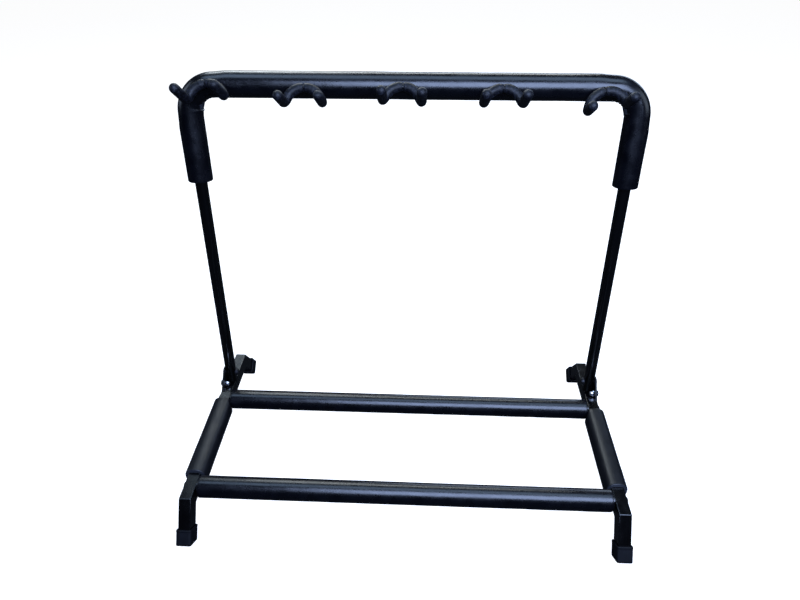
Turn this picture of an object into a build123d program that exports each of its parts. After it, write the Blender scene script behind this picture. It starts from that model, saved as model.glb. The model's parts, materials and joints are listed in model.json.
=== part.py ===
"""Folding rack that holds five guitars upright in a row.

Millimetres. +Z is up, +X is the rack's right side and -Y is its front.
The origin is on the ground, under the middle of the base.

A flat base of two side rails and two padded crossbars stands on four splayed feet. A padded frame,
bent from one round tube, pivots on two ears at the rear of the rails and folds forward over the base.
Five padded yokes stand out of the frame's top bar and take the guitar necks.
"""

import os
from math import cos, radians, sin, tan

from build123d import *

# ---- driving dimensions -------------------------------------------------------------------------

# base: rectangular tube rails, bent down into splayed feet
RAIL_SPACING = 700.0  # centre to centre of the two side rails
RAIL_WIDTH = 20.0
RAIL_HEIGHT = 25.0
RAIL_WALL = 1.5
RAIL_CORNER = 1.5  # outside corner radius of the rail tube
RAIL_TOP = 76.0  # height of the rail's top face above the ground
BASE_HALF_LENGTH = 173.5  # from the middle of the rail to its bend, on the top face
FOOT_SPLAY = 36.0  # degrees between a foot and the vertical

# rubber foot caps
CAP_WALL = 3.0
CAP_LENGTH = 26.0
CAP_FLOOR = 4.0
CAP_CORNER = 3.0
SOLE_CUT = 2.0  # how deep the cap's lowest corner is cut flat to stand on the ground

# round tube of the crossbars and the folding frame
TUBE_RADIUS = 10.0
TUBE_WALL = 1.5

# crossbars
CROSSBAR_HEIGHT = 67.0
CROSSBAR_FRONT_Y = -142.5
CROSSBAR_REAR_Y = 55.5
CROSSBAR_FOAM_RADIUS = 18.25
CROSSBAR_FOAM_END_GAP = 4.0  # between a foam end and the rail
PLUG_LENGTH = 25.0
CROSSBAR_BOLT_RADIUS = 3.0
CROSSBAR_BOLT_REACH = 20.0  # how far the bolt goes into the plug
CROSSBAR_HOLE_RADIUS = 3.08
CROSSBAR_HEAD_RADIUS = 7.0
CROSSBAR_HEAD_HEIGHT = 2.0
CROSSBAR_HEAD_ROUNDING = 1.4
CROSSBAR_KEY_FLATS = 4.0
CROSSBAR_KEY_DEPTH = 2.5

# foam sleeves on the side rails
RAIL_FOAM_WIDTH = 36.5
RAIL_FOAM_HEIGHT = 40.0
RAIL_FOAM_GAP = 1.0  # between the rail foam and each crossbar foam
RAIL_FOAM_REAR_Y = 44.0  # the rail foam's rear end, squeezed past the rear crossbar's foam

# folding frame
LEG_SPACING = 693.0
LEAN = 9.1  # degrees that the open frame leans back
PIVOT_Y = 99.7
PIVOT_HEIGHT = 97.0
FRAME_LENGTH = 533.0  # from the pivot axis to the top bar's axis
BEND_RADIUS = 42.0
HEEL_RADIUS = 19.3  # the leg's lower end is rounded about the pivot axis
TOP_FOAM_RADIUS = 20.0
TOP_FOAM_DROP = 151.0  # from the top bar's axis to the foam's lower ends on the legs

# pivots and stops
EAR_THICKNESS = 2.5
EAR_PIVOT_RADIUS = 10.0  # the ear's rounding about the pivot bolt
EAR_STOP_RADIUS = 7.5  # and about the stop bolt
EAR_FOOT_FRONT_Y = 66.0
EAR_FOOT_REAR_Y = 122.0
EAR_FOOT_CORNER = 1.0  # corner radius at the foot's two ends
PIVOT_BOLT_RADIUS = 4.0
PIVOT_BOLT_PROUD = 0.8  # how far the bolt shows beyond its nut
PIVOT_HEAD_RADIUS = 6.5
PIVOT_HEAD_HEIGHT = 1.8
PIVOT_HEAD_ROUNDING = 1.5
PIVOT_NUT_RADIUS = 6.5
PIVOT_NUT_HEIGHT = 3.0
PIVOT_NUT_ROUNDING = 1.2
PIVOT_WASHER_RADIUS = 8.0
PIVOT_WASHER_THICKNESS = 1.0
STOP_BOLT_RADIUS = 3.0
STOP_HEAD_HEIGHT = 3.6
STOP_FLATS = 10.0
STOP_REACH = 14.4  # from the leg's axis to the stop's axis, open and folded alike
STOP_BOLT_REACH = 6.5  # how far the stop bolt goes into its dome nut
DOME_NUT_LENGTH = 10.3
DOME_NUT_HEX_LENGTH = 4.5
DOME_NUT_BORE = 7.0
DOME_RADIUS = 4.8
DOME_ROUNDING = 4.6

# neck yokes
YOKE_PITCH = 147.0
YOKE_ROW_SHIFT = -11.0  # the row of yokes sits this far left of the rack's middle
YOKE_LIFTS = (17.0, 9.0, 14.0, 12.0, 6.0)  # each stem's angle above the horizontal, in degrees
YOKE_TURNS = (5.5, 0.5, -2.0, 0.0, 12.5)  # where each screwed-in yoke has come to rest on its stem
YOKE_REACH = 30.0  # from the top bar's axis to the middle of the yoke
YOKE_ARCH_RADIUS = 28.0
YOKE_ARCH_TURN = 64.0  # degrees of arch on each side of the yoke's middle
YOKE_ARM_RISE = 23.5  # degrees between the stem and the arms
YOKE_ARM_LENGTH = 42.0
YOKE_BEND_RADIUS = 8.0
YOKE_ROD_RADIUS = 4.0
SLEEVE_RADIUS = 7.5
SLEEVE_SEAM = 0.8  # gap between the two sleeves at the middle of the yoke

# threaded sockets that take the yokes' stems in the top bar
SOCKET_RADIUS = 5.4
SOCKET_BOTTOM = 1.0  # height of the socket's inner end above the top bar's axis
SOCKET_TOP = 11.2  # height of the flange's outer face
SOCKET_FLANGE_RADIUS = 7.5
STEM_BOTTOM = 2.0  # height of the stem's inner end

# fits
SLIP = 0.05  # radial gap between a sleeve and what it sits on, or a shaft and its hole
FOAM_HOLE_GAP = 0.2  # between a stem and the hole cut for it in the foam
FOAM_POCKET_GAP = 0.1  # between a socket's flange and its pocket in the foam

# cutting shapes
OVERRUN = 1.0  # how far a cutting shape passes the faces it cuts
BLOCK = 100.0  # size of a block that removes everything on one side of a plane

# ---- derived places -----------------------------------------------------------------------------

RAIL_X = RAIL_SPACING / 2
RAIL_MIDDLE = RAIL_TOP - RAIL_HEIGHT / 2
RAIL_INNER_X = RAIL_X - RAIL_WIDTH / 2
RAIL_OUTER_X = RAIL_X + RAIL_WIDTH / 2
LEG_X = LEG_SPACING / 2
BEND_HALF_TURN = radians(90 - FOOT_SPLAY) / 2
FOOT_DIRECTION = Vector(0, sin(radians(FOOT_SPLAY)), -cos(radians(FOOT_SPLAY)))
# length of a foot's outer edge that puts the cap's lowest corner SOLE_CUT below the ground
FOOT_EDGE = (
    RAIL_TOP + SOLE_CUT - (RAIL_HEIGHT + CAP_WALL) * sin(radians(FOOT_SPLAY))
) / cos(radians(FOOT_SPLAY))
RAIL_BEND_Y = BASE_HALF_LENGTH - RAIL_HEIGHT / 2 * tan(BEND_HALF_TURN)
FOOT_LENGTH = FOOT_EDGE - RAIL_HEIGHT / 2 * tan(BEND_HALF_TURN) - CAP_FLOOR
STOP_Y = PIVOT_Y - STOP_REACH * (1 + sin(radians(LEAN))) / cos(radians(LEAN))
STOP_HEIGHT = PIVOT_HEIGHT - STOP_REACH
CROSSBAR_YS = (CROSSBAR_FRONT_Y, CROSSBAR_REAR_Y)
YOKE_COUNT = len(YOKE_LIFTS)

# the folding frame's own plane: local x is across, local y runs up the legs, local z faces the front
FRAME_PLANE = Plane(
    origin=(0, PIVOT_Y, PIVOT_HEIGHT),
    x_dir=(1, 0, 0),
    z_dir=(0, -cos(radians(LEAN)), sin(radians(LEAN))),
)

# ---- small helpers ------------------------------------------------------------------------------


def across(radius, x_low, x_high, y, z):
    """A round bar along X."""
    middle = (x_low + x_high) / 2
    return Pos(middle, y, z) * Rot(0, 90, 0) * Cylinder(radius, x_high - x_low)


def across_hex(flats, x_low, x_high, y, z):
    """A hexagonal bar along X, given by the distance across its flats."""
    bar = extrude(RegularPolygon(flats / 2, 6, major_radius=False), x_high - x_low)
    return Pos(x_low, y, z) * Rot(0, 90, 0) * bar


def mirrored(part):
    """The same part on the rack's other side."""
    return mirror(part, about=Plane.YZ)


def both_sides(part):
    """A group of two separate solids, one on each side."""
    return Compound(children=[part, mirrored(part)])


# ---- base ---------------------------------------------------------------------------------------


def rail_profile(half_height, overrun=0.0):
    """The rail's side view, from the front foot's end to the rear foot's end."""
    lean_in = half_height * tan(BEND_HALF_TURN)
    end = Vector(0, RAIL_BEND_Y, RAIL_MIDDLE) + FOOT_DIRECTION * (FOOT_LENGTH + overrun)
    outward = Vector(0, cos(radians(FOOT_SPLAY)), sin(radians(FOOT_SPLAY))) * half_height
    rear_half = [
        (RAIL_BEND_Y + lean_in, RAIL_MIDDLE + half_height),
        ((end + outward).Y, (end + outward).Z),
        ((end - outward).Y, (end - outward).Z),
        (RAIL_BEND_Y - lean_in, RAIL_MIDDLE - half_height),
    ]
    front_half = [(-y, z) for y, z in reversed(rear_half)]
    return Polygon(*rear_half, *front_half, align=None)


def right_side_rail():
    """A rectangular tube with two mitred, splayed feet, drilled for the crossbar bolts."""
    outside = extrude(Plane.YZ * rail_profile(RAIL_HEIGHT / 2), RAIL_WIDTH / 2, both=True)
    sides = outside.faces().filter_by(Axis.X)
    corners = [edge for side in sides for edge in side.edges() if edge.length > RAIL_HEIGHT + OVERRUN]
    outside = fillet(corners, RAIL_CORNER)
    hollow_profile = rail_profile(RAIL_HEIGHT / 2 - RAIL_WALL, OVERRUN)
    hollow = extrude(Plane.YZ * hollow_profile, RAIL_WIDTH / 2 - RAIL_WALL, both=True)
    rail = Pos(RAIL_X, 0, 0) * (outside - hollow)
    for y in CROSSBAR_YS:
        ends = RAIL_INNER_X - OVERRUN, RAIL_OUTER_X + OVERRUN
        rail -= across(CROSSBAR_HOLE_RADIUS, *ends, y, CROSSBAR_HEIGHT)
    return rail


def rear_right_cap():
    """A rubber cap over a foot's end, with its lowest corner cut flat to stand on the ground."""
    end = Vector(RAIL_X, RAIL_BEND_Y, RAIL_MIDDLE) + FOOT_DIRECTION * FOOT_LENGTH
    foot = Plane(origin=end, x_dir=(1, 0, 0), z_dir=FOOT_DIRECTION)
    width, depth = RAIL_WIDTH + 2 * CAP_WALL, RAIL_HEIGHT + 2 * CAP_WALL
    sleeve = CAP_LENGTH - CAP_FLOOR
    body = Pos(0, 0, -sleeve) * extrude(RectangleRounded(width, depth, CAP_CORNER), CAP_LENGTH)
    socket = RectangleRounded(RAIL_WIDTH + 2 * SLIP, RAIL_HEIGHT + 2 * SLIP, RAIL_CORNER)
    body -= Pos(0, 0, -sleeve) * extrude(socket, sleeve)
    below_ground = Pos(end.X, end.Y, -BLOCK / 2) * Box(BLOCK, BLOCK, BLOCK)
    return foot * body - below_ground


def crossbar_tube(y):
    """A round tube between the rails."""
    outside = across(TUBE_RADIUS, -RAIL_INNER_X, RAIL_INNER_X, y, CROSSBAR_HEIGHT)
    return outside - across(TUBE_RADIUS - TUBE_WALL, -RAIL_X, RAIL_X, y, CROSSBAR_HEIGHT)


def crossbar_foam(y):
    """A foam sleeve over a crossbar."""
    end = RAIL_INNER_X - CROSSBAR_FOAM_END_GAP
    outside = across(CROSSBAR_FOAM_RADIUS, -end, end, y, CROSSBAR_HEIGHT)
    return outside - across(TUBE_RADIUS + SLIP, -RAIL_X, RAIL_X, y, CROSSBAR_HEIGHT)


def right_rail_foam():
    """A foam sleeve over the side rail; its rear corner is squeezed by the rear crossbar's foam."""
    front = CROSSBAR_FRONT_Y + CROSSBAR_FOAM_RADIUS + RAIL_FOAM_GAP
    ring = Ellipse(RAIL_FOAM_WIDTH / 2, RAIL_FOAM_HEIGHT / 2)
    ring -= RectangleRounded(RAIL_WIDTH + 2 * SLIP, RAIL_HEIGHT + 2 * SLIP, RAIL_CORNER)
    face_back = Plane(origin=(RAIL_X, front, RAIL_MIDDLE), x_dir=(1, 0, 0), z_dir=(0, 1, 0))
    sleeve = extrude(face_back * ring, RAIL_FOAM_REAR_Y - front)
    neighbour_end = RAIL_INNER_X - CROSSBAR_FOAM_END_GAP + RAIL_FOAM_GAP / 2
    neighbour_radius = CROSSBAR_FOAM_RADIUS + RAIL_FOAM_GAP / 2
    return sleeve - across(neighbour_radius, 0, neighbour_end, CROSSBAR_REAR_Y, CROSSBAR_HEIGHT)


def crossbar_end_plug(y):
    """A threaded plug inside the right end of a crossbar."""
    start = RAIL_INNER_X - PLUG_LENGTH
    body = across(TUBE_RADIUS - TUBE_WALL - SLIP / 2, start, RAIL_INNER_X, y, CROSSBAR_HEIGHT)
    return body - across(CROSSBAR_BOLT_RADIUS + SLIP, start - OVERRUN, RAIL_X, y, CROSSBAR_HEIGHT)


def crossbar_bolt(y):
    """A low-headed bolt from outside, through the rail, into a crossbar's plug."""
    head_top = RAIL_OUTER_X + CROSSBAR_HEAD_HEIGHT
    head = across(CROSSBAR_HEAD_RADIUS, RAIL_OUTER_X, head_top, y, CROSSBAR_HEIGHT)
    head = fillet(head.edges().group_by(Axis.X)[-1], CROSSBAR_HEAD_ROUNDING)
    shank_end = RAIL_INNER_X - CROSSBAR_BOLT_REACH
    shank = across(CROSSBAR_BOLT_RADIUS, shank_end, RAIL_OUTER_X, y, CROSSBAR_HEIGHT)
    key_ends = head_top - CROSSBAR_KEY_DEPTH, head_top + OVERRUN
    return head + shank - across_hex(CROSSBAR_KEY_FLATS, *key_ends, y, CROSSBAR_HEIGHT)


# ---- pivots and stops ---------------------------------------------------------------------------


LEG_OUTER_X = LEG_X + TUBE_RADIUS
EAR_INNER_X = LEG_OUTER_X + SLIP
EAR_OUTER_X = EAR_INNER_X + EAR_THICKNESS
PIVOT_WASHER_OUT = LEG_X - TUBE_RADIUS - SLIP
PIVOT_WASHER_IN = PIVOT_WASHER_OUT - PIVOT_WASHER_THICKNESS
PIVOT_NUT_IN = PIVOT_WASHER_IN - PIVOT_NUT_HEIGHT


def pivot_bar(radius, x_low, x_high):
    """A round bar on the pivot axis."""
    return across(radius, x_low, x_high, PIVOT_Y, PIVOT_HEIGHT)


def stop_bar(radius, x_low, x_high):
    """A round bar on the stop's axis."""
    return across(radius, x_low, x_high, STOP_Y, STOP_HEIGHT)


def right_pivot_ear():
    """A plate welded on top of the rail, just outside the leg, for the pivot and the stop bolt."""
    outline = [
        Pos(PIVOT_Y, PIVOT_HEIGHT) * Circle(EAR_PIVOT_RADIUS),
        Pos(STOP_Y, STOP_HEIGHT) * Circle(EAR_STOP_RADIUS),
    ]
    for y in (EAR_FOOT_FRONT_Y + EAR_FOOT_CORNER, EAR_FOOT_REAR_Y - EAR_FOOT_CORNER):
        outline.append(Pos(y, RAIL_TOP + EAR_FOOT_CORNER) * Circle(EAR_FOOT_CORNER))
    plate = make_hull([edge for circle in outline for edge in circle.edges()])
    plate -= Pos(PIVOT_Y, RAIL_TOP - BLOCK / 2) * Rectangle(BLOCK, BLOCK)
    plate -= Pos(PIVOT_Y, PIVOT_HEIGHT) * Circle(PIVOT_BOLT_RADIUS + SLIP)
    plate -= Pos(STOP_Y, STOP_HEIGHT) * Circle(STOP_BOLT_RADIUS + SLIP)
    return Pos(EAR_INNER_X, 0, 0) * extrude(Plane.YZ * plate, EAR_THICKNESS)


def right_pivot_bolt():
    """A low round-headed bolt through the ear and the leg."""
    head = pivot_bar(PIVOT_HEAD_RADIUS, EAR_OUTER_X, EAR_OUTER_X + PIVOT_HEAD_HEIGHT)
    head = fillet(head.edges().group_by(Axis.X)[-1], PIVOT_HEAD_ROUNDING)
    return head + pivot_bar(PIVOT_BOLT_RADIUS, PIVOT_NUT_IN - PIVOT_BOLT_PROUD, EAR_OUTER_X)


def right_pivot_washer():
    """A washer between the leg and the pivot nut."""
    ring = pivot_bar(PIVOT_WASHER_RADIUS, PIVOT_WASHER_IN, PIVOT_WASHER_OUT)
    return ring - pivot_bar(PIVOT_BOLT_RADIUS + SLIP, PIVOT_WASHER_IN - OVERRUN, LEG_X)


def right_pivot_nut():
    """A low round nut on the inner side of the leg."""
    nut = pivot_bar(PIVOT_NUT_RADIUS, PIVOT_NUT_IN, PIVOT_WASHER_IN)
    nut = fillet(nut.edges().group_by(Axis.X)[0], PIVOT_NUT_ROUNDING)
    return nut - pivot_bar(PIVOT_BOLT_RADIUS + SLIP / 2, PIVOT_NUT_IN - OVERRUN, LEG_X)


def right_stop_bolt():
    """A hexagon bolt from outside the ear; its dome nut stops the leg's heel."""
    head = across_hex(STOP_FLATS, EAR_OUTER_X, EAR_OUTER_X + STOP_HEAD_HEIGHT, STOP_Y, STOP_HEIGHT)
    return head + stop_bar(STOP_BOLT_RADIUS, EAR_INNER_X - STOP_BOLT_REACH, EAR_OUTER_X)


def right_stop_nut():
    """A dome nut on the ear's inner face."""
    hex_end = EAR_INNER_X - DOME_NUT_HEX_LENGTH
    hexagon = across_hex(STOP_FLATS, hex_end, EAR_INNER_X, STOP_Y, STOP_HEIGHT)
    dome = stop_bar(DOME_RADIUS, EAR_INNER_X - DOME_NUT_LENGTH, hex_end + OVERRUN)
    dome = fillet(dome.edges().group_by(Axis.X)[0], DOME_ROUNDING)
    bore = stop_bar(STOP_BOLT_RADIUS + SLIP / 2, EAR_INNER_X - DOME_NUT_BORE, EAR_OUTER_X)
    return hexagon + dome - bore


# ---- folding frame ------------------------------------------------------------------------------


def frame_path(leg_bottom):
    """The frame's centre line in its own plane: up the left leg, over the top and down the right."""
    low, high = leg_bottom, FRAME_LENGTH
    points = [(-LEG_X, low), (-LEG_X, high), (LEG_X, high), (LEG_X, low)]
    return FRAME_PLANE * FilletPolyline(*points, radius=BEND_RADIUS)


def along_frame(radius, leg_bottom):
    """A round bar that follows the frame's centre line."""
    path = frame_path(leg_bottom)
    start = Plane(origin=path @ 0, z_dir=path % 0)
    return sweep(start * Circle(radius), path=path)


def yoke_plane(index):
    """A yoke's own plane: origin on the top bar's axis, local z out along the stem, local y up."""
    lift = radians(YOKE_LIFTS[index])
    x = YOKE_ROW_SHIFT + (index - (YOKE_COUNT - 1) / 2) * YOKE_PITCH
    bar = FRAME_PLANE.from_local_coords(Vector(x, FRAME_LENGTH, 0))
    stem = Plane(origin=bar, x_dir=(1, 0, 0), z_dir=(0, -cos(lift), sin(lift)))
    return stem * Rot(0, 0, YOKE_TURNS[index])


def back_frame_tube():
    """One round tube bent into an upside-down U, drilled for the pivots and the yoke sockets."""
    tube = along_frame(TUBE_RADIUS, -HEEL_RADIUS - OVERRUN)
    tube -= along_frame(TUBE_RADIUS - TUBE_WALL, -HEEL_RADIUS - 2 * OVERRUN)
    heel_zone = FRAME_PLANE * Pos(0, -BLOCK / 2, 0) * Box(LEG_SPACING + BLOCK, BLOCK, BLOCK)
    legs = -LEG_OUTER_X - OVERRUN, LEG_OUTER_X + OVERRUN
    tube -= heel_zone - pivot_bar(HEEL_RADIUS, *legs)
    tube -= pivot_bar(PIVOT_BOLT_RADIUS + SLIP, *legs)
    for index in range(YOKE_COUNT):
        tube -= yoke_plane(index) * extrude(Circle(SOCKET_RADIUS + SLIP / 2), 2 * TUBE_RADIUS)
    return tube


def top_foam():
    """The long foam sleeve over the top bar, both bends and the upper legs."""
    lower_end = FRAME_LENGTH - TOP_FOAM_DROP
    foam = along_frame(TOP_FOAM_RADIUS, lower_end)
    foam -= along_frame(TUBE_RADIUS + SLIP, lower_end - OVERRUN)
    for index in range(YOKE_COUNT):
        plane = yoke_plane(index)
        stem_hole = extrude(Circle(YOKE_ROD_RADIUS + FOAM_HOLE_GAP), YOKE_REACH)
        pocket = Circle(SOCKET_FLANGE_RADIUS + FOAM_POCKET_GAP)
        flange_pocket = extrude(pocket, SOCKET_TOP + FOAM_POCKET_GAP)
        foam -= plane * (stem_hole + flange_pocket)
    return foam


def yoke_socket(index):
    """A threaded rivet nut in the top bar; its flange sits on the outside of the tube."""
    body = Pos(0, 0, SOCKET_BOTTOM) * extrude(Circle(SOCKET_RADIUS), SOCKET_TOP - SOCKET_BOTTOM)
    flange_start = TUBE_RADIUS / 2
    flange = extrude(Circle(SOCKET_FLANGE_RADIUS), SOCKET_TOP - flange_start)
    flange = Pos(0, 0, flange_start) * flange
    saddle = yoke_plane(index) * flange - along_frame(TUBE_RADIUS + SLIP / 2, -HEEL_RADIUS)
    thread = extrude(Circle(YOKE_ROD_RADIUS + SLIP), 2 * SOCKET_TOP)
    return saddle + yoke_plane(index) * body - yoke_plane(index) * thread


# ---- neck yokes ---------------------------------------------------------------------------------

# the arch's plane: local x across, local y down the arch, local z along the arms
ARCH_PLANE = Plane(
    origin=(0, 0, YOKE_REACH),
    x_dir=(-1, 0, 0),
    z_dir=(0, sin(radians(YOKE_ARM_RISE)), cos(radians(YOKE_ARM_RISE))),
)


def half_yoke_path(side, start_turn):
    """Half of a yoke's rod: down one side of the arch, round an elbow, then forward along the arm."""
    end_turn = radians(YOKE_ARCH_TURN)
    arch = lambda turn: Vector(-side * sin(turn), 1 - cos(turn), 0) * YOKE_ARCH_RADIUS
    down = Vector(-side * cos(end_turn), sin(end_turn), 0) * YOKE_BEND_RADIUS
    forward = Vector(0, 0, YOKE_BEND_RADIUS)
    elbow = lambda turn: arch(end_turn) + down * sin(turn) + forward * (1 - cos(turn))
    bent = elbow(radians(90))
    tip = bent + Vector(0, 0, YOKE_ARM_LENGTH - YOKE_BEND_RADIUS)
    middle_turn = (start_turn + end_turn) / 2
    place = ARCH_PLANE.from_local_coords
    curve = ThreePointArc(place(arch(start_turn)), place(arch(middle_turn)), place(arch(end_turn)))
    bend = ThreePointArc(place(elbow(0)), place(elbow(radians(45))), place(bent))
    arm = Line(place(bent), place(tip))
    return Wire([*curve.edges(), *bend.edges(), *arm.edges()])


def half_yoke(side, start_turn, radius, round_end):
    """A round bar along half of the yoke, with a flat or a round end."""
    path = half_yoke_path(side, start_turn)
    bar = sweep(Plane(origin=path @ 0, z_dir=path % 0) * Circle(radius), path=path)
    if round_end:
        bar += Pos(*(path @ 1)) * Sphere(radius)
    return bar


def yoke_rod(index):
    """The yoke's bent steel rod, welded to its threaded stem."""
    rod = half_yoke(-1, 0, YOKE_ROD_RADIUS, False) + half_yoke(1, 0, YOKE_ROD_RADIUS, False)
    stem = Pos(0, 0, STEM_BOTTOM) * extrude(Circle(YOKE_ROD_RADIUS), YOKE_REACH - STEM_BOTTOM)
    return yoke_plane(index) * (rod + stem)


def yoke_sleeve(index, side):
    """A foam sleeve over half of a yoke, closed and rounded at the tip."""
    seam_turn = SLEEVE_SEAM / 2 / YOKE_ARCH_RADIUS
    sleeve = half_yoke(side, seam_turn, SLEEVE_RADIUS, True)
    sleeve -= half_yoke(side, 0, YOKE_ROD_RADIUS + SLIP, False)
    sleeve -= extrude(Circle(YOKE_ROD_RADIUS + SLIP), YOKE_REACH)
    return yoke_plane(index) * sleeve


# ---- the whole rack -----------------------------------------------------------------------------


def front_and_rear(maker):
    """Four identical fasteners: both sides of the front and the rear crossbar."""
    right = [maker(y) for y in CROSSBAR_YS]
    return Compound(children=right + [mirrored(part) for part in right])


def build_nodes():
    """Every node's name with its solid or group of solids."""
    rail, cap, foam, ear = right_side_rail(), rear_right_cap(), right_rail_foam(), right_pivot_ear()
    front_cap = mirror(cap, about=Plane.XZ)
    nodes = {
        "right_side_rail": rail,
        "left_side_rail": mirrored(rail),
        "foot_cap_rear_right": cap,
        "foot_cap_rear_left": mirrored(cap),
        "foot_cap_front_right": front_cap,
        "foot_cap_front_left": mirrored(front_cap),
        "right_rail_foam": foam,
        "left_rail_foam": mirrored(foam),
        "right_pivot_ear": ear,
        "left_pivot_ear": mirrored(ear),
        "front_crossbar": crossbar_tube(CROSSBAR_FRONT_Y),
        "rear_crossbar": crossbar_tube(CROSSBAR_REAR_Y),
        "front_crossbar_foam": crossbar_foam(CROSSBAR_FRONT_Y),
        "rear_crossbar_foam": crossbar_foam(CROSSBAR_REAR_Y),
        "crossbar_end_plugs": front_and_rear(crossbar_end_plug),
        "crossbar_bolts": front_and_rear(crossbar_bolt),
        "pivot_bolts": both_sides(right_pivot_bolt()),
        "pivot_washers": both_sides(right_pivot_washer()),
        "pivot_nuts": both_sides(right_pivot_nut()),
        "stop_bolts": both_sides(right_stop_bolt()),
        "stop_nuts": both_sides(right_stop_nut()),
        "back_frame_tube": back_frame_tube(),
        "top_foam": top_foam(),
        "yoke_sockets": Compound(children=[yoke_socket(i) for i in range(YOKE_COUNT)]),
    }
    for i in range(YOKE_COUNT):
        nodes[f"yoke_{i + 1}_rod"] = yoke_rod(i)
        nodes[f"yoke_{i + 1}_left_sleeve"] = yoke_sleeve(i, -1)
        nodes[f"yoke_{i + 1}_right_sleeve"] = yoke_sleeve(i, 1)
    return nodes


os.makedirs("parts", exist_ok=True)
for name, shape in build_nodes().items():
    export_step(shape, f"parts/{name}.step")
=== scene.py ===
"""Looks for the folding guitar rack: foam sleeves, rubber caps, paint, metal and a plain studio.

Metres. +Z is up and -Y is the rack's front. Every place comes from the loaded frame: the boxes of its
nodes and the positions and axes of its joints.
"""

import json
from math import atan2, ceil, cos, exp, hypot, pi, radians, sin

import bpy
import numpy as np
from mathutils import Matrix, Vector, noise


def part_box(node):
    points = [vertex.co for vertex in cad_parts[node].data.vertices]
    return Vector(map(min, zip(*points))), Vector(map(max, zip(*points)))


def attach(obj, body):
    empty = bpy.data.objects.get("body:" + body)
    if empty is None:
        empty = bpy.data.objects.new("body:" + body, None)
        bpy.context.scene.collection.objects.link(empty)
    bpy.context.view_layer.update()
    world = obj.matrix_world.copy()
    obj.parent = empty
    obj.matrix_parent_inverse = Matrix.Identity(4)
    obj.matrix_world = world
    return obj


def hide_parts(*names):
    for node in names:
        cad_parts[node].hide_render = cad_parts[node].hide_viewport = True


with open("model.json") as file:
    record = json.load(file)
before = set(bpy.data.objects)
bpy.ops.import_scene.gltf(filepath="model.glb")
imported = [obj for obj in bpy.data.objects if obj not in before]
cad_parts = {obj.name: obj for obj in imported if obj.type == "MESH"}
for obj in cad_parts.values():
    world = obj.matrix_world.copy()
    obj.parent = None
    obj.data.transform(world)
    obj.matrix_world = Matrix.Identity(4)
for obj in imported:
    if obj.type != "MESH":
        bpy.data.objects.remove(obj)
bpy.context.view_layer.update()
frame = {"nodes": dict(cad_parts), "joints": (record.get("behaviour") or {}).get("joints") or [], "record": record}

# ---- driving dimensions -------------------------------------------------------------------------

MM = 0.001
TUBE_RADIUS = 10.0 * MM  # crossbars and folding frame
FRAME_BEND_RADIUS = 42.0 * MM
RAIL_WIDTH = 20.0 * MM
RAIL_HEIGHT = 25.0 * MM
FOOT_SPLAY = radians(36.0)  # between a foot and the vertical
CAP_WALL = 3.0 * MM
CAP_FLOOR = 4.0 * MM
CAP_LENGTH = 26.0 * MM
ROD_RADIUS = 4.0 * MM  # a yoke's rod and stem
YOKE_REACH = 30.0 * MM
YOKE_ARCH_RADIUS = 28.0 * MM
YOKE_ARCH_TURN = radians(64.0)
YOKE_ARM_RISE = radians(23.5)
YOKE_ARM_LENGTH = 42.0 * MM
YOKE_BEND_RADIUS = 8.0 * MM
YOKE_SLEEVE_RADIUS = 7.5 * MM
YOKE_SEAM = 0.8 * MM
SLIP = 0.1 * MM  # between a sleeve's bore and what it sits on

CAP_RIM = 0.7 * MM  # rounding of a cap's upper edge
CAP_LIP_HEIGHT = 2.6 * MM  # the thicker band round a cap's upper end
CAP_STEP_IN = 0.35 * MM  # how far a cap's side lies inside that band
CAP_SOLE_EDGE = 2.2 * MM  # rounding of a cap's lower edge

# camera
CAMERA_PLACE = (0.0241, -0.7213, 0.8921)
CAMERA_PITCH = 0.6402  # downward
CAMERA_YAW = 0.0459
CAMERA_ROLL = -0.0047
CAMERA_LENS = 26.33  # mm
CAMERA_SENSOR = 36.0  # mm
CAMERA_SHIFT = 0.5 / 800  # half of one of the picture's 800 columns, right and down

# studio
FLOOR_GLOW = 0.96  # the share of the floor's white that no shadow can take away
ROOM_GLOW = 0.012  # what the object sees where there is no light

JOINTS = {joint["name"]: joint for joint in frame["joints"]}

# ---- paths and skins ----------------------------------------------------------------------------


class Path:
    """A centre line through dense points, with a cross-section frame that never twists."""

    SMOOTHING = 4.0 * MM  # the curvature is averaged over this length to either side

    def __init__(self, points, side):
        self.points = np.array(points, float)
        steps = np.diff(self.points, axis=0)
        lengths = np.linalg.norm(steps, axis=1)
        self.distance = np.concatenate([[0.0], np.cumsum(lengths)])
        self.length = self.distance[-1]
        tangent = np.gradient(self.points, self.distance, axis=0)
        self.tangent = tangent / np.linalg.norm(tangent, axis=1)[:, None]
        self.side = np.zeros_like(self.points)
        current = np.array(side, float)
        for i, along in enumerate(self.tangent):
            current = current - along * current.dot(along)
            current = current / np.linalg.norm(current)
            self.side[i] = current
        self.up = np.cross(self.tangent, self.side)
        self.bend = self.averaged(np.gradient(self.tangent, self.distance, axis=0), self.SMOOTHING)

    def averaged(self, values, reach):
        """The values, averaged along the path over this length to either side."""
        result = np.zeros_like(values)
        for i, here in enumerate(self.distance):
            near = np.abs(self.distance - here) < reach
            result[i] = values[near].mean(axis=0)
        return result

    def sample(self, values, s):
        """A value at distance s, straight between the path's points."""
        return np.array([np.interp(s, self.distance, values[:, k]) for k in range(3)])

    def at(self, s):
        """Origin, side and up at distance s; beyond an end the path runs straight on."""
        inside = min(max(s, 0.0), self.length)
        origin = self.sample(self.points, inside)
        origin = origin + self.sample(self.tangent, inside) * (s - inside)
        return origin, self.sample(self.side, inside), self.sample(self.up, inside)

    def bend_at(self, s):
        """Curvature at distance s, and the angle round the section of the inside of the bend."""
        bend = self.sample(self.bend, s)
        across, above = bend.dot(self.sample(self.side, s)), bend.dot(self.sample(self.up, s))
        return hypot(across, above), atan2(above, across)


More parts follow.
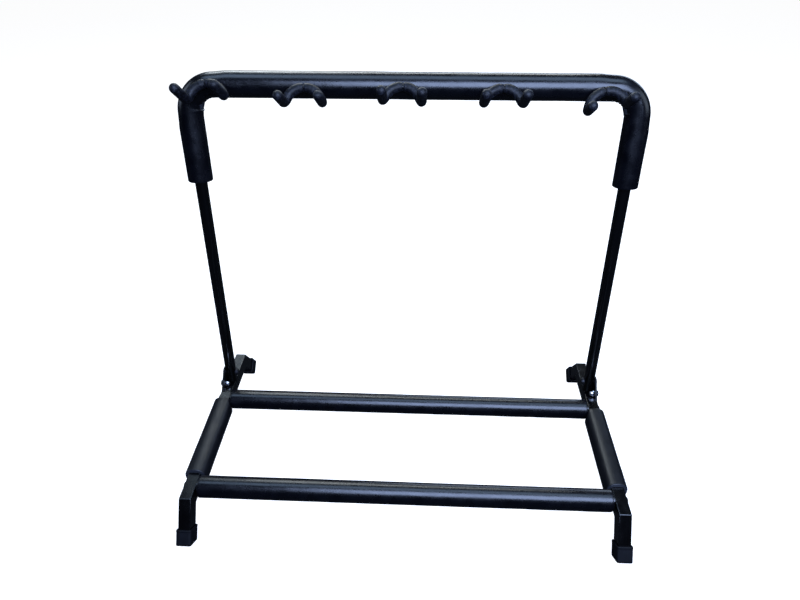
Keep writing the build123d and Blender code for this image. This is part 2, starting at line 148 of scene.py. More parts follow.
def line(start, end, step=2.0 * MM):
    """Points from start up to, not including, end."""
    start, end = np.array(start, float), np.array(end, float)
    count = max(1, ceil(np.linalg.norm(end - start) / step))
    return [start + (end - start) * i / count for i in range(count)]


def arc(centre, toward_start, toward_quarter, first=0.0, last=pi / 2, step=1.0 * MM):
    """Points of an arc between two turns; the two arms reach its places at no turn and a quarter."""
    centre = np.array(centre, float)
    start, quarter = np.array(toward_start, float), np.array(toward_quarter, float)
    count = ceil(np.linalg.norm(start) * (last - first) / step)
    turns = [first + (last - first) * i / count for i in range(count)]
    return [centre + start * cos(turn) + quarter * sin(turn) for turn in turns]


def skin(name, path, rows, around, closed):
    """A closed mesh of rings along a path.

    Each row is (distance, section, cut): section gives the ring's offset for an angle, and cut is 1
    where the foam's inside shows. A closed skin joins its last row to its first. An open one has a
    point at each end.
    """
    vertices, straight, cuts = [], [], []
    for s, section, cut in rows:
        origin, side, up = path.at(s)
        for k in range(around):
            a, b = section(2 * pi * k / around, s)
            vertices.append(origin + side * a + up * b)
            straight.append((a, b, s))
            cuts.append(cut)
    faces = []
    for i in range(len(rows) if closed else len(rows) - 1):
        low, high = i * around, (i + 1) % len(rows) * around
        for k in range(around):
            following = (k + 1) % around
            faces.append((low + k, low + following, high + following, high + k))
    if not closed:
        for row, flip in ((0, True), (len(rows) - 1, False)):
            ring = range(row * around, (row + 1) * around)
            pole = len(vertices)
            vertices.append(np.mean([vertices[i] for i in ring], axis=0))
            straight.append(tuple(np.mean([straight[i] for i in ring], axis=0)))
            cuts.append(rows[row][2])
            for k in range(around):
                edge = (ring[k], ring[(k + 1) % around])
                faces.append((*(reversed(edge) if flip else edge), pole))
    mesh = bpy.data.meshes.new(name)
    mesh.from_pydata([tuple(v) for v in vertices], [], faces)
    attribute = mesh.attributes.new("straight", "FLOAT_VECTOR", "POINT")
    attribute.data.foreach_set("vector", np.array(straight).ravel())
    attribute = mesh.attributes.new("cut", "FLOAT", "POINT")
    attribute.data.foreach_set("value", np.array(cuts, float))
    mesh.polygons.foreach_set("use_smooth", [True] * len(mesh.polygons))
    mesh.update()
    piece = bpy.data.objects.new(name, mesh)
    bpy.context.scene.collection.objects.link(piece)
    return piece


def round_section(radius):
    """A circular section; radius is a number or a function of angle and distance."""
    if callable(radius):
        return lambda angle, s: (radius(angle, s) * cos(angle), radius(angle, s) * sin(angle))
    return lambda angle, s: (radius * cos(angle), radius * sin(angle))


def rectangle_section(half_width, half_height, power):
    """A rectangular section with soft corners; a higher power gives tighter corners."""

    def section(angle, _):
        c, s = cos(angle), sin(angle)
        scale = (abs(c / half_width) ** power + abs(s / half_height) ** power) ** (-1 / power)
        return c * scale, s * scale

    return section


def shrunk(section, amount):
    """A section moved inward by an amount, by scaling about its middle."""

    def smaller(angle, s):
        a, b = section(angle, s)
        size = hypot(a, b)
        return a * (size - amount) / size, b * (size - amount) / size

    return smaller


# ---- foam ---------------------------------------------------------------------------------------

FOAM_STEP = 2.5 * MM
BENT_FOAM_STEP = 1.5 * MM  # finer, so that the folds come out smooth
FOAM_SIDES = 64
TOP_FOAM_SIDES = 72
FOAM_INSET = 0.25 * MM  # leaves room for the unevenness inside the CAD sleeve's outside
LIP_RADIUS = 1.4 * MM  # the rounding where a cut end meets the skin
LIP_STEPS = 4
CUT_FACE_STEPS = 4
BORE_STEPS = 12
RAIL_FOAM_INSET = 0.3 * MM
RAIL_FOAM_POWER = 2.5  # a squarish round, as foam takes over a rectangular tube
RAIL_BORE_POWER = 12
SQUEEZE_CLEARANCE = 0.8 * MM
SQUEEZE_FADE = 5 * MM
STRETCH = 2.8 * MM  # how much thinner the foam is on the outside of the frame's bends
STRETCH_REACH = 22 * MM  # how far the stretch spreads past a bend
FOLD_PERIOD = 10.0 * MM
FOLD_DEPTH = 1.0 * MM
BUNCH_WIDTH = 7 * MM
LEFT_BUNCH = (5 * MM, 2.2 * MM)  # past the start of the left bend, and its height
RIGHT_BUNCH = (6 * MM, 1.0 * MM)  # before the end of the right bend, and its height


def ripple(a, b, s, size, seed):
    """Smooth noise from -1 to 1 over a straightened sleeve, with features of about this size."""
    return noise.noise(Vector((a / size, b / size, s / size + seed)))


def folds(path, angle, s, period, depth):
    """Creases and bulges that compression raises on the inside of a bend."""
    curvature, inside = path.bend_at(s)
    facing = max(0.0, cos(angle - inside))
    shift = 0.35 * noise.noise(Vector((angle, s / (3 * period), 0.5)))
    crease = abs(cos(pi * (s / period + shift))) ** 4
    return depth * min(1.0, curvature * FRAME_BEND_RADIUS) * facing**4 * (0.35 - crease)


def foam_rows(length, outside, bore, step=FOAM_STEP):
    """Rows of a sleeve open at both ends: skin, rounded lip, cut face, bore and back again."""
    rows = []
    count = ceil((length - 2 * LIP_RADIUS) / step)
    for i in range(count + 1):
        rows.append((LIP_RADIUS + (length - 2 * LIP_RADIUS) * i / count, outside, 0.0))
    far_lip = []
    for i in range(1, LIP_STEPS + 1):
        turn = pi / 2 * i / LIP_STEPS
        inset = LIP_RADIUS * (1 - cos(turn))
        far_lip.append((LIP_RADIUS * (1 - sin(turn)), shrunk(outside, inset), i / LIP_STEPS))
    rows += [(length - s, section, cut) for s, section, cut in far_lip]
    rows += cut_face(length, outside, bore)
    rows += [(length * (1 - i / BORE_STEPS), bore, 1.0) for i in range(1, BORE_STEPS)]
    rows += reversed(cut_face(0.0, outside, bore))
    rows += reversed(far_lip)
    return rows


def cut_face(s, outside, bore):
    """Rows of a flat cut end, from just inside the lip to the bore."""
    rows = []
    for i in range(1, CUT_FACE_STEPS + 1):
        share = i / CUT_FACE_STEPS

        def section(angle, at, share=share):
            a, b = shrunk(outside, LIP_RADIUS)(angle, at)
            c, d = bore(angle, at)
            return a + (c - a) * share, b + (d - b) * share

        rows.append((s, section, 1.0))
    return rows


def foam_radius(path, radius, seed, fold_period=0.0, fold_depth=0.0):
    """A sleeve's outer radius: a little uneven all over, and folded inside its bends."""

    def at(angle, s):
        a, b = radius * cos(angle), radius * sin(angle)
        uneven = 0.22 * MM * ripple(a, b, s, 38 * MM, seed) + 0.07 * MM * ripple(a, b, s, 9 * MM, seed)
        wrinkled = folds(path, angle, s, fold_period, fold_depth) if fold_depth else 0.0
        return radius + uneven + wrinkled

    return at


def place(piece, body, node, material):
    """Gives a piece its material and its body, and hides the CAD node it stands for."""
    piece.data.materials.append(material)
    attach(piece, body)
    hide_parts(node)


def crossbar_foam(node, seed, material):
    """A straight foam sleeve over a crossbar."""
    low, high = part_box(node)
    middle = (low + high) / 2
    path = Path([*line((low.x, middle.y, middle.z), (high.x, middle.y, middle.z)),
                 (high.x, middle.y, middle.z)], side=(0, 0, 1))
    outside = round_section(foam_radius(path, (high.z - low.z) / 2 - FOAM_INSET, seed))
    rows = foam_rows(path.length, outside, round_section(TUBE_RADIUS + SLIP))
    place(skin(f"{node}_sleeve", path, rows, FOAM_SIDES, True), "base", node, material)


def rail_foam(node, seed, material):
    """A foam sleeve stretched over a rectangular rail, so its corners still show softly."""
    low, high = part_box(node)
    middle = (low + high) / 2
    path = Path([*line((middle.x, low.y, middle.z), (middle.x, high.y, middle.z)),
                 (middle.x, high.y, middle.z)], side=(1, 0, 0))
    half_width, half_height = (high.x - low.x) / 2, (high.z - low.z) / 2
    soft = rectangle_section(half_width - RAIL_FOAM_INSET, half_height - RAIL_FOAM_INSET, RAIL_FOAM_POWER)

    def outside(angle, s):
        a, b = soft(angle, s)
        swell = 1 + 0.012 * ripple(a, b, s, 30 * MM, seed) + 0.004 * ripple(a, b, s, 8 * MM, seed)
        return a * swell, b * swell

    bore = rectangle_section(RAIL_WIDTH / 2 + SLIP, RAIL_HEIGHT / 2 + SLIP, RAIL_BORE_POWER)
    piece = skin(f"{node}_sleeve", path, foam_rows(path.length, outside, bore), FOAM_SIDES, True)
    squeeze(piece, "rear_crossbar_foam")
    place(piece, "base", node, material)


def squeeze(piece, neighbour):
    """Presses a side-rail sleeve outward where a crossbar's sleeve butts against it."""
    low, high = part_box(neighbour)
    middle = (low + high) / 2
    end, radius = high.x + SQUEEZE_CLEARANCE, (high.z - low.z) / 2 + SQUEEZE_CLEARANCE
    for vertex in piece.data.vertices:
        point = vertex.co
        depth = end - abs(point.x)
        inside = radius - hypot(point.y - middle.y, point.z - middle.z)
        if depth > 0 and inside > -SQUEEZE_FADE:
            share = min(1.0, (inside + SQUEEZE_FADE) / SQUEEZE_FADE)
            point.x += depth * share * (1 if point.x > 0 else -1)


def frame_directions():
    """The pivot, the legs' length from there to the top bar's axis, and the unit vector up them."""
    pivot = Vector(JOINTS["frame_fold"]["pos_m"])
    bar = Vector(JOINTS["yoke_1_swivel"]["pos_m"])
    legs_up = Vector((0, bar.y - pivot.y, bar.z - pivot.z))
    return pivot, legs_up.length, legs_up.normalized()


def top_foam(material):
    """The long sleeve over the top bar, both bends and the upper legs."""
    pivot, height, upward = frame_directions()
    low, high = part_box("top_foam")
    radius = (high.x - low.x) / 2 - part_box("back_frame_tube")[1].x + TUBE_RADIUS
    leg_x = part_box("back_frame_tube")[1].x - TUBE_RADIUS
    frontward = Vector((0, -upward.z, upward.y))
    drop = (high.z - low.z - radius * (1 + frontward.z)) / upward.z
    bend = FRAME_BEND_RADIUS
    ground = np.array((0.0, pivot.y, pivot.z))

    def at(x, v):
        return ground + np.array(upward) * v + (x, 0.0, 0.0)

    low_end, corner = height - drop, height - bend
    up, right = np.array(upward) * bend, np.array((bend, 0.0, 0.0))
    points = [
        *line(at(-leg_x, low_end), at(-leg_x, corner)),
        *arc(at(-leg_x + bend, corner), -right, up),
        *line(at(-leg_x + bend, height), at(leg_x - bend, height)),
        *arc(at(leg_x - bend, corner), up, right),
        *line(at(leg_x, corner), at(leg_x, low_end)),
        at(leg_x, low_end),
    ]
    path = Path(points, side=frontward)
    creased = foam_radius(path, radius, 3.0, FOLD_PERIOD, FOLD_DEPTH)
    stretched = path.averaged(path.bend, STRETCH_REACH)
    leg_length = corner - low_end
    bunches = (
        (leg_length + LEFT_BUNCH[0], LEFT_BUNCH[1]),
        (path.length - leg_length - RIGHT_BUNCH[0], RIGHT_BUNCH[1]),
    )

    def outside_radius(angle, s):
        curvature = path.sample(stretched, s)
        share = np.linalg.norm(curvature) * bend
        across, above = curvature.dot(path.sample(path.side, s)), curvature.dot(path.sample(path.up, s))
        facing = cos(angle - atan2(above, across))
        bunched = sum(size * exp(-(((s - middle) / BUNCH_WIDTH) ** 2)) for middle, size in bunches)
        thinned = STRETCH * share * max(0.0, -facing) ** 1.5
        return creased(angle, s) + bunched * max(0.0, facing) ** 3 - thinned

    bore = round_section(TUBE_RADIUS + SLIP)
    rows = foam_rows(path.length, round_section(outside_radius), bore, BENT_FOAM_STEP)
    piece = skin("top_foam_sleeve", path, rows, TOP_FOAM_SIDES, True)
    for index in yoke_numbers():
        pierce(piece, index)
    place(piece, "back_frame", "top_foam", material)


def pierce(piece, number):
    """Cuts the hole a yoke's stem passes through."""
    bpy.ops.mesh.primitive_cylinder_add(vertices=40, radius=ROD_RADIUS + 3 * SLIP, depth=YOKE_REACH)
    cutter = bpy.context.object
    stem = yoke_frame(number)
    cutter.matrix_world = stem @ Matrix.Translation((0, 0, YOKE_REACH / 2 + TUBE_RADIUS / 2))
    hole = piece.modifiers.new("stem_hole", "BOOLEAN")
    hole.operation = "DIFFERENCE"
    hole.solver = "EXACT"
    hole.object = cutter
    bpy.context.view_layer.objects.active = piece
    bpy.ops.object.modifier_apply(modifier=hole.name)
    bpy.data.objects.remove(cutter, do_unlink=True)


# ---- yokes --------------------------------------------------------------------------------------

YOKE_FOAM_SIDES = 32
YOKE_LIP = 0.8 * MM
YOKE_TIP_STEPS = 9
YOKE_BORE_STEPS = 10
YOKE_FOLD_PERIOD = 4.2 * MM
YOKE_FOLD_DEPTH = 0.9 * MM
PINCH = 1.5 * MM  # how much thinner each sleeve is at the seam
PINCH_LENGTH = 3.5 * MM


def yoke_numbers():
    """The yokes' numbers, from the rack's left to its right."""
    return sorted(int(name.split("_")[1]) for name in JOINTS if name.startswith("yoke_"))


def yoke_frame(number):
    """A yoke's own frame: origin on the top bar's axis, local z out along the stem, local y up."""
    joint = JOINTS[f"yoke_{number}_swivel"]
    outward = Vector(joint["axis"]).normalized()
    right = Vector((1, 0, 0))
    upright = outward.cross(right)
    turn = -radians(sum(joint["range_deg"])) / 2
    axes = Matrix((right, upright, outward)).transposed().to_4x4()
    return Matrix.Translation(joint["pos_m"]) @ axes @ Matrix.Rotation(turn, 4, "Z")


def yoke_foam(number, side_name, side, material):
    """A foam sleeve over half of a yoke, open at the middle and rounded over the rod's tip."""
    place_in_row = yoke_frame(number)

    def at(x, drop, along):
        local = Vector((
            side * x,
            -drop * cos(YOKE_ARM_RISE) + along * sin(YOKE_ARM_RISE),
            YOKE_REACH + drop * sin(YOKE_ARM_RISE) + along * cos(YOKE_ARM_RISE),
        ))
        return np.array(place_in_row @ local)

    zero = at(0, 0, 0)
    across, upward, forward = at(1, 0, 0) - zero, at(0, -1, 0) - zero, at(0, 0, 1) - zero
    arch, bend = YOKE_ARCH_RADIUS, YOKE_BEND_RADIUS
    arch_centre = at(0, arch, 0)
    arch_end = arch_centre + (across * sin(YOKE_ARCH_TURN) + upward * cos(YOKE_ARCH_TURN)) * arch
    down = across * cos(YOKE_ARCH_TURN) - upward * sin(YOKE_ARCH_TURN)
    elbow_centre = arch_end + forward * bend
    arm_start = elbow_centre + down * bend
    arm_end = arm_start + forward * (YOKE_ARM_LENGTH - bend)
    seam_turn = YOKE_SEAM / 2 / arch
    points = [
        *arc(arch_centre, upward * arch, across * arch, seam_turn, YOKE_ARCH_TURN),
        *arc(elbow_centre, -forward * bend, down * bend),
        *line(arm_start, arm_end, 1 * MM),
        arm_end,
    ]
    path = Path(points, side=upward)
    seed = 10.0 * number + side
    radius = YOKE_SLEEVE_RADIUS - 0.1 * MM

    def uneven(angle, s):
        a, b = radius * cos(angle), radius * sin(angle)
        bumps = 0.16 * MM * ripple(a, b, s, 7 * MM, seed) + 0.08 * MM * ripple(a, b, s, 3 * MM, seed)
        curvature, inside = path.bend_at(s)
        facing = max(0.0, cos(angle - inside))
        crease = abs(cos(pi * s / YOKE_FOLD_PERIOD + seed)) ** 6
        wrinkled = YOKE_FOLD_DEPTH * min(1.0, curvature * bend) * facing**2 * (0.3 - crease)
        pinched = PINCH * exp(-s / PINCH_LENGTH)
        return radius + bumps + wrinkled - pinched

    outside = round_section(uneven)
    bore = round_section(ROD_RADIUS + SLIP / 2)
    rows = [(path.length * (1 - i / YOKE_BORE_STEPS), bore, 1.0) for i in range(YOKE_BORE_STEPS)]
    rows += [(0.0, bore, 1.0), (0.0, shrunk(outside, YOKE_LIP), 1.0)]
    rows += [(YOKE_LIP * 0.3, shrunk(outside, YOKE_LIP * 0.3), 0.5)]
    count = ceil((path.length - YOKE_LIP) / MM)
    for i in range(count + 1):
        rows.append((YOKE_LIP + (path.length - YOKE_LIP) * i / count, outside, 0.0))
    for i in range(1, YOKE_TIP_STEPS):
        turn = pi / 2 * i / YOKE_TIP_STEPS
        tip = lambda angle, s, turn=turn: uneven(angle, path.length) * cos(turn)
        rows.append((path.length + radius * sin(turn), round_section(tip), 0.0))
    piece = skin(f"yoke_{number}_{side_name}_foam", path, rows, YOKE_FOAM_SIDES, False)
    place(piece, f"yoke_{number}", f"yoke_{number}_{side_name}_sleeve", material)


# ---- foot caps ----------------------------------------------------------------------------------

CAP_SIDES = 96
CAP_CORNER_POWER = 9
CAP_BORE_POWER = 14
CAP_SIDE_STEPS = 10
CAP_EDGE_STEPS = 6


def foot_cap(node, material):
    """A moulded rubber cap with a rolled rim and soft edges, flat where it stands."""
    left, front = "left" in node, "front" in node
    rail_low, rail_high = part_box("left_side_rail" if left else "right_side_rail")
    rearward = -1 if front else 1
    along = Vector((0, rearward * sin(FOOT_SPLAY), -cos(FOOT_SPLAY)))
    outward = Vector((0, rearward * cos(FOOT_SPLAY), sin(FOOT_SPLAY)))
    tube_end = Vector((
        (rail_low.x + rail_high.x) / 2,
        rearward * (rail_high.y - RAIL_HEIGHT / 2 * outward.y * rearward),
        rail_low.z + RAIL_HEIGHT / 2 * outward.z,
    ))
    sleeve = CAP_LENGTH - CAP_FLOOR
    start = tube_end - along * sleeve
    end = tube_end + along * CAP_FLOOR
    path = Path([*line(start, end), np.array(end)], side=(1, 0, 0))
    wide, deep = RAIL_WIDTH / 2 + CAP_WALL, RAIL_HEIGHT / 2 + CAP_WALL
    outside = rectangle_section(wide, deep, CAP_CORNER_POWER)
    side = shrunk(outside, CAP_STEP_IN)
    bore = rectangle_section(RAIL_WIDTH / 2 + SLIP / 2, RAIL_HEIGHT / 2 + SLIP / 2, CAP_BORE_POWER)
    rows = [(sleeve, shrunk(bore, 6 * MM), 0.0)]
    rows += [(sleeve * (1 - i / 6), bore, 0.0) for i in range(6)]
    rows += [(0.0, shrunk(outside, CAP_WALL - 0.5 * MM), 0.0), (0.0, shrunk(outside, CAP_RIM), 0.0)]
    rows += [(CAP_RIM * 0.3, shrunk(outside, CAP_RIM * 0.3), 0.0), (CAP_RIM, outside, 0.0)]
    rows += [(CAP_LIP_HEIGHT, outside, 0.0), (CAP_LIP_HEIGHT + 0.4 * MM, side, 0.0)]
    side_top, side_length = CAP_LIP_HEIGHT + 1.0 * MM, CAP_LENGTH - 6.4 * MM
    rows += [(side_top + side_length * i / CAP_SIDE_STEPS, side, 0.0) for i in range(CAP_SIDE_STEPS + 1)]
    for i in range(1, CAP_EDGE_STEPS + 1):
        turn = pi / 2 * i / CAP_EDGE_STEPS
        s = CAP_LENGTH - CAP_SOLE_EDGE + CAP_SOLE_EDGE * sin(turn)
        rows.append((s, shrunk(outside, CAP_STEP_IN + CAP_SOLE_EDGE * (1 - cos(turn))), 0.0))
    for inset in (4.5 * MM, 8.0 * MM):
        rows.append((CAP_LENGTH, shrunk(outside, inset), 0.0))
    piece = skin(f"{node}_moulding", path, rows, CAP_SIDES, False)
    for vertex in piece.data.vertices:
        vertex.co.z = max(vertex.co.z, 0.0)
    place(piece, "base", node, material)


# ---- materials ----------------------------------------------------------------------------------


class Nodes:
    """The node tree of a material or a world, with short calls for the nodes used here."""

    def __init__(self, owner):
        self.owner = owner
        owner.use_nodes = True
        self.tree = owner.node_tree

    def add(self, kind, **inputs):
        """A node of this kind, with values or links for its inputs."""
        node = self.tree.nodes.new(kind)
        for key, value in inputs.items():
            self.set(node, key.replace("_", " "), value)
        return node

    def set(self, node, key, value):
        """Sets an input to a value, or links it to another node's output."""
        socket = node.inputs[key]
        if isinstance(value, bpy.types.NodeSocket):
            self.tree.links.new(value, socket)
        else:
            socket.default_value = value

    def attribute(self, name):
        """The node that reads a mesh attribute."""
        node = self.tree.nodes.new("ShaderNodeAttribute")
        node.attribute_name = name
        return node

    def scaled(self, vector, scale):
        """A vector times a vector."""
        node = self.tree.nodes.new("ShaderNodeVectorMath")
        node.operation = "MULTIPLY"
        self.tree.links.new(vector, node.inputs[0])
        node.inputs[1].default_value = scale
        return node.outputs[0]

    def noise(self, vector, scale, detail=3.0, roughness=0.5):
        """Grey noise with this many features a metre."""
        node = self.add("ShaderNodeTexNoise", Vector=vector, Scale=scale)
        self.set(node, "Detail", detail)
        self.set(node, "Roughness", roughness)
        return node.outputs["Fac"]

    def spread(self, value, low, high, to_low, to_high):
        """A value taken from one range into another, and held there."""
        node = self.tree.nodes.new("ShaderNodeMapRange")
        self.tree.links.new(value, node.inputs["Value"])
        ends = {"From Min": low, "From Max": high, "To Min": to_low, "To Max": to_high}
        for key, number in ends.items():
            node.inputs[key].default_value = number
        return node.outputs["Result"]

    def blend(self, share, first, second):
        """A colour between two, by a share from 0 to 1."""
        node = self.tree.nodes.new("ShaderNodeMix")
        node.data_type = "RGBA"
        self.set(node, "Factor", share)
        for socket, value in ((node.inputs[6], first), (node.inputs[7], second)):
            if isinstance(value, bpy.types.NodeSocket):
                self.tree.links.new(value, socket)
            else:
                socket.default_value = (*value, 1.0)
        return node.outputs[2]

    def bump(self, height, depth, under=None):
        """A bump of this depth in metres, on top of another bump if one is given."""
        node = self.add("ShaderNodeBump", Height=height, Distance=depth, Strength=1.0)
        if under is not None:
            self.tree.links.new(under, node.inputs["Normal"])
        return node.outputs["Normal"]

    def finish(self, **inputs):
        """Sets the shader's inputs and gives the material."""
        shader = self.tree.nodes["Principled BSDF"]
        for key, value in inputs.items():
            self.set(shader, key.replace("_", " "), value)
        return self.owner


def foam_material(name, skin_dark, skin_light, gloss, roughness, cell_depth, scuffs):
    """Closed-cell foam: a satin skin with fine cells and drawn lines, scuffs, and a paler open cut."""
    n = Nodes(bpy.data.materials.new(name))
    straight = n.attribute("straight").outputs["Vector"]
    cut = n.attribute("cut").outputs["Fac"]
    patches = n.noise(straight, 45.0)
    skin_colour = n.blend(n.spread(patches, 0.3, 0.7, 0.0, 1.0), skin_dark, skin_light)
    scuffed = n.spread(n.noise(straight, 260.0, 5.0, 0.65), 0.50, 0.68, 0.0, scuffs)
    skin_colour = n.blend(scuffed, skin_colour, (0.022, 0.024, 0.034))
    cells = n.add("ShaderNodeTexVoronoi", Vector=straight, Scale=1500.0).outputs["Distance"]
    drawn = n.noise(n.scaled(straight, (1.0, 1.0, 0.03)), 900.0, 2.0)
    grain = n.noise(straight, 2600.0, 2.0)
    colour = n.blend(n.spread(cut, 0.3, 0.9, 0.0, 1.0), skin_colour, (0.030, 0.033, 0.042))
    normal = n.bump(cells, cell_depth)
    normal = n.bump(drawn, cell_depth * 0.35, normal)
    normal = n.bump(grain, cell_depth * 0.6, normal)
    return n.finish(
        Base_Color=colour,
        Roughness=n.spread(patches, 0.25, 0.75, roughness - 0.05, roughness + 0.07),
        Specular_IOR_Level=gloss,
        Sheen_Weight=0.003,
        Sheen_Roughness=0.5,
        Sheen_Tint=(0.45, 0.52, 0.75, 1.0),
        Normal=normal,
    )


def object_place(n):
    """Object coordinates, for carried-over CAD nodes."""
    return n.add("ShaderNodeTexCoord").outputs["Object"]


def paint_material(name, roughness, coat):
    """Black powder coat: a faint orange peel and slight changes of gloss."""
    n = Nodes(bpy.data.materials.new(name))
    here = object_place(n)
    peel = n.noise(here, 420.0, 2.0)
    dust = n.noise(here, 3200.0, 1.0)
    rub = n.noise(n.scaled(here, (1.0, 1.0, 0.25)), 60.0, 4.0)
    dusty = n.spread(dust, 0.68, 0.8, 0.0, 1.0)
    return n.finish(
        Base_Color=n.blend(dusty, (0.0010, 0.0010, 0.0013), (0.010, 0.010, 0.012)),
        Roughness=n.spread(rub, 0.3, 0.7, roughness, roughness + 0.13),
        Specular_IOR_Level=0.25 + coat * 0.7,
        Coat_Weight=coat,
        Coat_Roughness=0.08,
        Normal=n.bump(peel, 0.03 * MM),
    )


def rubber_material():
    """Matt moulded rubber, blue-black, with a fine spark-eroded grain."""
    n = Nodes(bpy.data.materials.new("moulded_rubber"))
    straight = n.attribute("straight").outputs["Vector"]
    grain = n.noise(straight, 1800.0, 3.0)
    bloom = n.noise(straight, 90.0, 4.0)
    bloomed = n.spread(bloom, 0.35, 0.7, 0.0, 1.0)
    return n.finish(
        Base_Color=n.blend(bloomed, (0.0012, 0.0014, 0.0028), (0.0026, 0.003, 0.0055)),
        Roughness=n.spread(bloom, 0.3, 0.7, 0.5, 0.64),
        Specular_IOR_Level=0.25,
        Normal=n.bump(grain, 0.05 * MM),
    )


def metal_material(name, colour, roughness, brushing, metallic=1.0):
    """Plated or oxidised steel with fine turning marks across X."""
    n = Nodes(bpy.data.materials.new(name))
    here = object_place(n)
    marks = n.noise(n.scaled(here, (6.0, 1.0, 1.0)), 900.0, 3.0)
    stain = n.noise(here, 240.0, 3.0)
    darker = tuple(part * 0.8 for part in colour)
    return n.finish(
        Base_Color=n.blend(n.spread(stain, 0.4, 0.7, 0.0, 1.0), colour, darker),
        Metallic=metallic,
        Roughness=n.spread(stain, 0.3, 0.7, roughness * 0.8, roughness * 1.3),
        Normal=n.bump(marks, brushing),
    )


# ---- carried-over CAD nodes ---------------------------------------------------------------------

BROKEN_EDGES = {  # how far each node's hard edges are broken, in mm
    "left_side_rail": 0.7,
    "right_side_rail": 0.7,
    "left_pivot_ear": 0.5,
    "right_pivot_ear": 0.5,
    "stop_bolts": 0.35,
    "stop_nuts": 0.3,
    "pivot_washers": 0.2,
}


def dress(node, material):
    """A CAD node's material, with its hard edges broken where the real ones are."""
    piece = frame["nodes"][node]
    piece.data.materials.clear()
    piece.data.materials.append(material)
    weld = piece.modifiers.new("weld", "WELD")
    weld.merge_threshold = 0.001 * MM
    if node in BROKEN_EDGES:
        bevel = piece.modifiers.new("broken_edges", "BEVEL")
        bevel.width = BROKEN_EDGES[node] * MM
        bevel.segments = 2
        bevel.limit_method = "ANGLE"
        bevel.angle_limit = radians(40)


# ---- studio -------------------------------------------------------------------------------------


def softbox(name, place_at, target, size, power, colour=(1, 1, 1)):
    """A rectangular area light aimed at a point."""
    data = bpy.data.lights.new(name, "AREA")
    data.shape = "RECTANGLE"
    data.size, data.size_y = size
    data.energy = power
    data.color = colour
    light = bpy.data.objects.new(name, data)
    light.location = place_at
    light.rotation_euler = (Vector(target) - Vector(place_at)).to_track_quat("-Z", "Y").to_euler()
    light.visible_camera = False
    bpy.context.scene.collection.objects.link(light)


def seen_directly(n, seen, otherwise):
    """A shader that looks one way to the camera and another to every other ray."""
    mix = n.tree.nodes.new("ShaderNodeMixShader")
    n.tree.links.new(n.add("ShaderNodeLightPath").outputs["Is Camera Ray"], mix.inputs["Fac"])
    n.tree.links.new(otherwise, mix.inputs[1])
    n.tree.links.new(seen, mix.inputs[2])
    return mix.outputs[0]


def floor():
    """A plain pale floor that throws little light back up."""
    bpy.ops.mesh.primitive_plane_add(size=30.0)
    plane = bpy.context.object
    plane.name = "floor"
    n = Nodes(bpy.data.materials.new("pale_floor"))
    glow = n.add("ShaderNodeEmission", Color=(1, 1, 1, 1), Strength=FLOOR_GLOW).outputs[0]
    lit = n.add("ShaderNodeBsdfDiffuse", Color=(0.6, 0.6, 0.6, 1)).outputs[0]
    dim = n.add("ShaderNodeBsdfDiffuse", Color=(0.02, 0.02, 0.02, 1)).outputs[0]
    both = n.tree.nodes.new("ShaderNodeAddShader")
    n.tree.links.new(glow, both.inputs[0])
    n.tree.links.new(lit, both.inputs[1])
    output = n.tree.nodes["Material Output"]
    n.tree.links.new(seen_directly(n, both.outputs[0], dim), output.inputs["Surface"])
    plane.data.materials.append(n.owner)


def surround():
    """White behind the object, and a dark room to reflect."""
    world = bpy.data.worlds.new("surround")
    n = Nodes(world)
    white = n.add("ShaderNodeBackground", Color=(1, 1, 1, 1), Strength=1.0).outputs[0]
    dark = n.add("ShaderNodeBackground", Color=(0.75, 0.85, 1.0, 1), Strength=ROOM_GLOW).outputs[0]
    output = n.tree.nodes["World Output"]
    n.tree.links.new(seen_directly(n, white, dark), output.inputs["Surface"])
    bpy.context.scene.world = world


def studio():
    """Floor, surround and softboxes: a blue window above the front, and others above and all round."""
    floor()
    surround()
    softbox("window", (0.30, -0.80, 1.15), (0.1, 0.1, 0.25), (1.3, 0.8), 34, (0.48, 0.62, 1.0))
    softbox("ceiling", (0.0, 0.1, 2.3), (0, 0, 0.3), (2.6, 0.9), 22, (0.48, 0.68, 1.0))
    softbox("rim", (-0.1, 1.05, 1.27), (0, 0.18, 0.62), (1.35, 0.3), 7.6, (0.88, 0.96, 1.0))
    softbox("rear_left", (-1.1, 1.9, 2.2), (-0.35, 0.0, 0.1), (0.9, 1.7), 4, (0.58, 0.78, 1.0))
    softbox("edge", (-0.65, 1.95, 1.4), (0.34, 0.15, 0.08), (0.7, 0.5), 5, (0.9, 0.97, 1.0))
    softbox("rear_fill", (0.9, 2.4, 0.8), (0.0, 0.1, 0.3), (2.4, 0.9), 18, (0.62, 0.76, 1.0))
    softbox("left_fill", (-2.3, 0.3, 1.2), (0.0, 0.0, 0.3), (1.4, 1.2), 8, (0.62, 0.76, 1.0))
    softbox("right_fill", (2.3, -0.2, 1.2), (0.0, 0.0, 0.3), (1.4, 1.2), 8, (0.62, 0.76, 1.0))
    bpy.context.scene.view_settings.view_transform = "Standard"


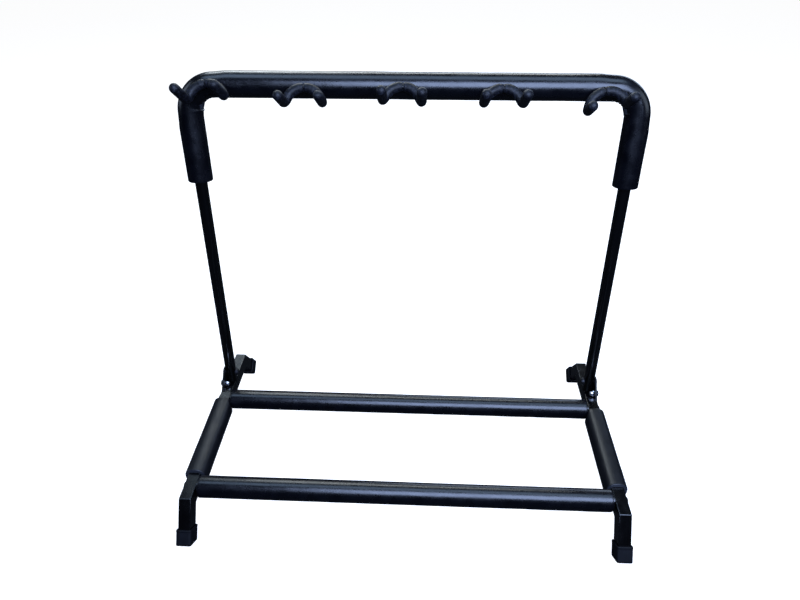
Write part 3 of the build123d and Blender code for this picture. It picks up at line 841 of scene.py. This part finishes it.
def camera():
    """The camera, where the photographer stood."""
    data = bpy.data.cameras.new("camera")
    data.lens = CAMERA_LENS
    data.sensor_width = CAMERA_SENSOR
    data.shift_x, data.shift_y = -CAMERA_SHIFT, CAMERA_SHIFT
    eye = bpy.data.objects.new("camera", data)
    heading = Matrix.Rotation(CAMERA_YAW, 4, "Z") @ Matrix.Rotation(pi / 2 - CAMERA_PITCH, 4, "X")
    roll = Matrix.Rotation(CAMERA_ROLL, 4, "Z")
    eye.matrix_world = Matrix.Translation(CAMERA_PLACE) @ heading @ roll
    bpy.context.scene.collection.objects.link(eye)
    bpy.context.scene.camera = eye


# ---- the whole scene ----------------------------------------------------------------------------

black = ((0.0007, 0.0009, 0.002), (0.0012, 0.0015, 0.0035))
worn_black = ((0.0010, 0.0012, 0.0026), (0.0024, 0.0028, 0.0056))
foam = foam_material("satin_foam", *black, 0.6, 0.26, 0.025 * MM, 0.0)
rail_foam_skin = foam_material("worn_satin_foam", *black, 0.5, 0.4, 0.03 * MM, 0.0)
yoke_foam_skin = foam_material("matt_foam", *worn_black, 0.28, 0.44, 0.1 * MM, 1.0)
rubber = rubber_material()
slot_materials = {
    "frame_paint": paint_material("gloss_black_powder_coat", 0.17, 0.35),
    "chrome": metal_material("bright_chrome", (0.86, 0.86, 0.88), 0.09, 0.004 * MM),
    "zinc": metal_material("bright_zinc", (0.66, 0.68, 0.71), 0.26, 0.02 * MM),
    "black_fastener": metal_material("black_oxide", (0.03, 0.03, 0.034), 0.36, 0.02 * MM, 0.7),
}
for subpart in frame["record"]["subparts"]:
    if subpart["material_slot"] in slot_materials:
        dress(subpart["node"], slot_materials[subpart["material_slot"]])
ear_paint = paint_material("satin_black_powder_coat", 0.42, 0.0)
for ear in ("left_pivot_ear", "right_pivot_ear"):
    frame["nodes"][ear].data.materials[0] = ear_paint

crossbar_foam("front_crossbar_foam", 1.0, foam)
crossbar_foam("rear_crossbar_foam", 2.0, foam)
rail_foam("left_rail_foam", 4.0, rail_foam_skin)
rail_foam("right_rail_foam", 5.0, rail_foam_skin)
top_foam(foam)
for number in yoke_numbers():
    yoke_foam(number, "left", -1, yoke_foam_skin)
    yoke_foam(number, "right", 1, yoke_foam_skin)
for cap in ("foot_cap_front_left", "foot_cap_front_right", "foot_cap_rear_left", "foot_cap_rear_right"):
    foot_cap(cap, rubber)

studio()
camera()
